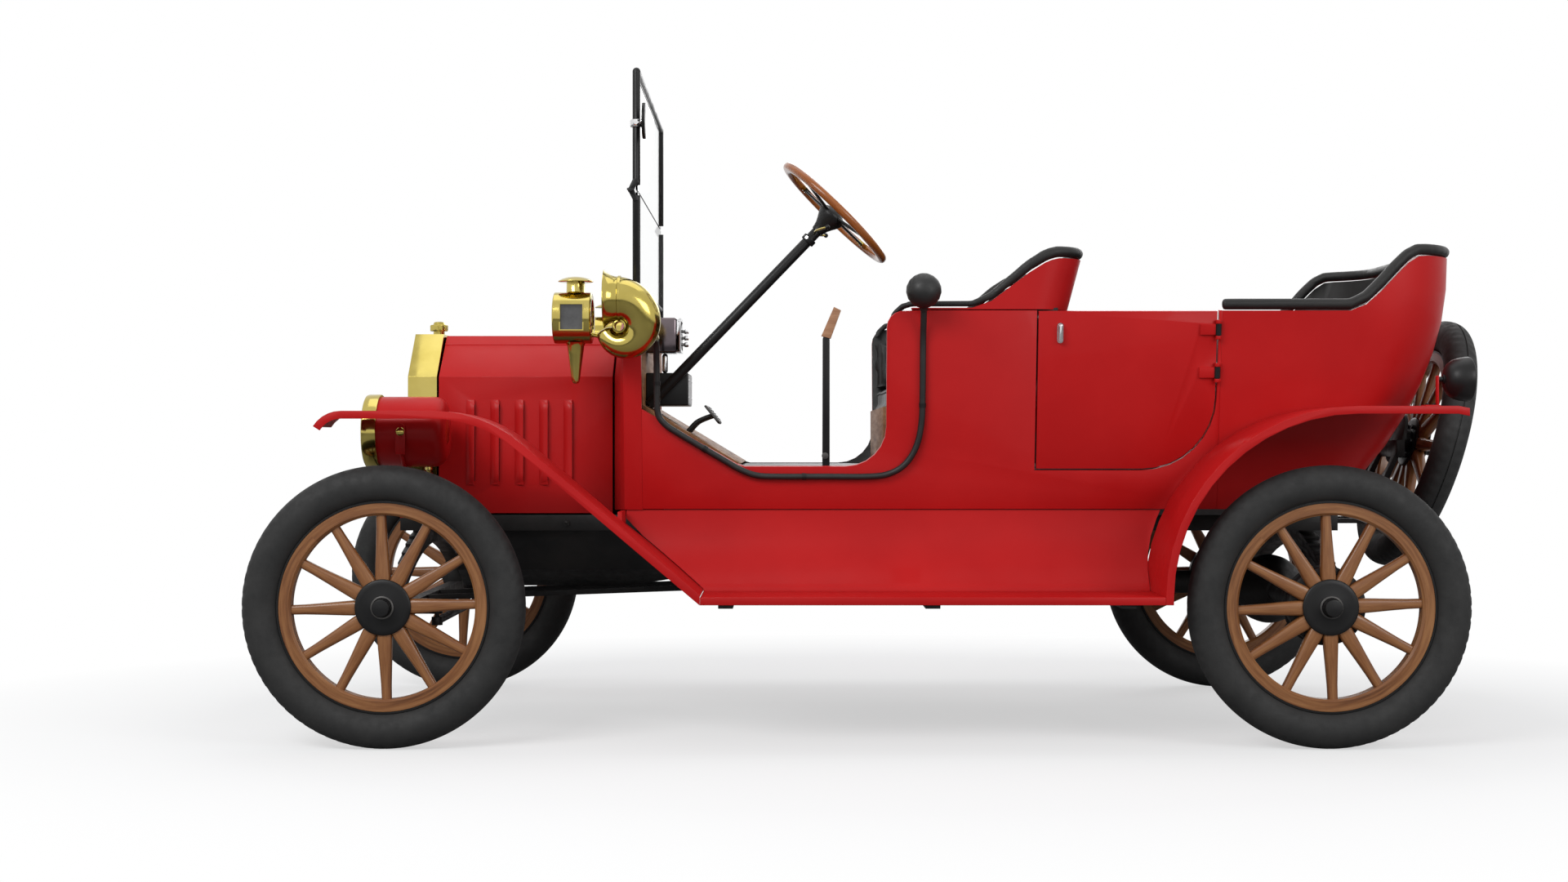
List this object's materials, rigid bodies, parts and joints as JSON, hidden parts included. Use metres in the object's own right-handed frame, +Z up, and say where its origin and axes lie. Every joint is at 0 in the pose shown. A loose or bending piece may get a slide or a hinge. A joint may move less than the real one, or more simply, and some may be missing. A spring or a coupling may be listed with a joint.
{
  "type": "brass era touring car",
  "caption": "Open four-seat brass era touring car with wooden spoke wheels, brass lamps and horn, folding windscreen and leaning spare wheel.",
  "frame": {"origin": "on the ground, at the middle of the overall length and width", "axes": "+X forward, +Y to the car's left, +Z up"},
  "size_m": [3.5014, 1.6, 1.86],
  "materials": {
    "red_paint": "gloss red coach paint",
    "black_paint": "satin black enamel",
    "brass": "polished brass",
    "varnished_wood": "varnished hardwood",
    "tyre": "black rubber tyre",
    "black_rubber": "black rubber",
    "leather": "black leather",
    "clear_glass": "clear glass",
    "floor_metal": "dull grey metal",
    "chrome": "bright plated metal"
  },
  "bodies": {
    "car": {"chassis_frame": "black_paint", "board_brackets": "black_paint", "engine": "black_paint", "front_axle": "black_paint", "springs": "black_paint", "rear_axle": "black_paint", "spare_wheel": "varnished_wood", "spare_tyre": "tyre", "spare_carrier": "black_paint", "front_mudguards": "red_paint", "rear_mudguards": "red_paint", "running_boards": "red_paint", "aprons": "red_paint", "radiator_shell": "brass", "radiator_core": "black_paint", "cowl": "red_paint", "dashboard": "varnished_wood", "side_panels": "red_paint", "rear_tub": "red_paint", "floor": "floor_metal", "front_seat_shell": "red_paint", "seat_boxes": "varnished_wood", "seat_cushions": "leather", "seat_backs": "leather", "seat_rolls": "leather", "windscreen_lower": "black_paint", "lower_pane": "clear_glass", "headlamps": "red_paint", "side_lamps": "brass", "tail_lamps": "black_paint", "horn": "brass", "horn_tube": "black_rubber", "steering_column": "black_paint", "controls": "black_paint", "instrument_box": "varnished_wood"},
    "knuckle_left": {"knuckle_left": "black_paint"},
    "knuckle_right": {"knuckle_right": "black_paint"},
    "tie_rod": {"tie_rod": "black_paint"},
    "front_left_wheel": {"wheel_front_left": "varnished_wood", "tyre_front_left": "tyre"},
    "front_right_wheel": {"wheel_front_right": "varnished_wood", "tyre_front_right": "tyre"},
    "rear_left_wheel": {"wheel_rear_left": "varnished_wood", "tyre_rear_left": "tyre"},
    "rear_right_wheel": {"wheel_rear_right": "varnished_wood", "tyre_rear_right": "tyre"},
    "steering": {"steering_wheel": "varnished_wood"},
    "door_left": {"door_left": "red_paint"},
    "door_right": {"door_right": "red_paint"},
    "screen": {"windscreen_upper": "black_paint", "upper_pane": "clear_glass"},
    "bonnet_left": {"bonnet_top_left": "red_paint"},
    "bonnet_left_side": {"bonnet_side_left": "red_paint"},
    "bonnet_right": {"bonnet_top_right": "red_paint"},
    "bonnet_right_side": {"bonnet_side_right": "red_paint"}
  },
  "joints": [
    {"name": "steering_turn", "type": "hinge", "parent": "car", "child": "steering", "pos_m": [0.149, 0.315, 1.483], "axis": [-0.6947, 0, 0.7193], "range_deg": [-120, 120]},
    {"name": "steer_left", "type": "hinge", "parent": "car", "child": "knuckle_left", "pos_m": [1.37, 0.636, 0.381], "axis": [0, 0, 1], "range_deg": [-30, 30]},
    {"name": "steer_right", "type": "hinge", "parent": "car", "child": "knuckle_right", "pos_m": [1.37, -0.636, 0.381], "axis": [0, 0, 1], "range_deg": [-30, 30]},
    {"name": "tie_rod_turn", "type": "hinge", "parent": "knuckle_left", "child": "tie_rod", "pos_m": [1.24, 0.636, 0.35], "axis": [0, 0, 1], "range_deg": [-30, 30]},
    {"name": "front_left_spin", "type": "hinge", "parent": "knuckle_left", "child": "front_left_wheel", "pos_m": [1.37, 0.711, 0.381], "axis": [0, 1, 0], "continuous": true},
    {"name": "front_right_spin", "type": "hinge", "parent": "knuckle_right", "child": "front_right_wheel", "pos_m": [1.37, -0.711, 0.381], "axis": [0, 1, 0], "continuous": true},
    {"name": "rear_left_spin", "type": "hinge", "parent": "car", "child": "rear_left_wheel", "pos_m": [-1.17, 0.711, 0.381], "axis": [0, 1, 0], "continuous": true},
    {"name": "rear_right_spin", "type": "hinge", "parent": "car", "child": "rear_right_wheel", "pos_m": [-1.17, -0.711, 0.381], "axis": [0, 1, 0], "continuous": true},
    {"name": "door_left_hinge", "type": "hinge", "parent": "car", "child": "door_left", "pos_m": [-0.9135, 0.52592, 1.18886], "axis": [0, 0.1426, 0.9898], "range_deg": [0, 60]},
    {"name": "door_right_hinge", "type": "hinge", "parent": "car", "child": "door_right", "pos_m": [-0.9135, -0.52592, 1.18886], "axis": [0, 0.1426, -0.9898], "range_deg": [0, 60]},
    {"name": "screen_fold", "type": "hinge", "parent": "car", "child": "screen", "pos_m": [0.717, 0, 1.5195], "axis": [0, 1, 0], "range_deg": [0, 110]},
    {"name": "bonnet_left_lift", "type": "hinge", "parent": "car", "child": "bonnet_left", "pos_m": [1, 0, 1.141], "axis": [1, 0, 0], "range_deg": [0, 60]},
    {"name": "bonnet_left_hang", "type": "hinge", "parent": "bonnet_left", "child": "bonnet_left_side", "pos_m": [1, 0.215, 1.108], "axis": [1, 0, 0], "range_deg": [-60, 0]},
    {"name": "bonnet_right_lift", "type": "hinge", "parent": "car", "child": "bonnet_right", "pos_m": [1, 0, 1.141], "axis": [-1, 0, 0], "range_deg": [0, 60]},
    {"name": "bonnet_right_hang", "type": "hinge", "parent": "bonnet_right", "child": "bonnet_right_side", "pos_m": [1, -0.215, 1.108], "axis": [-1, 0, 0], "range_deg": [-60, 0]}
  ],
  "couplings": [
    {"joint": "steer_left", "follows": "steering_turn", "ratio": 0.25},
    {"joint": "steer_right", "follows": "steering_turn", "ratio": 0.25},
    {"joint": "tie_rod_turn", "follows": "steering_turn", "ratio": -0.25},
    {"joint": "bonnet_left_hang", "follows": "bonnet_left_lift", "ratio": -1},
    {"joint": "bonnet_right_hang", "follows": "bonnet_right_lift", "ratio": -1}
  ]
}
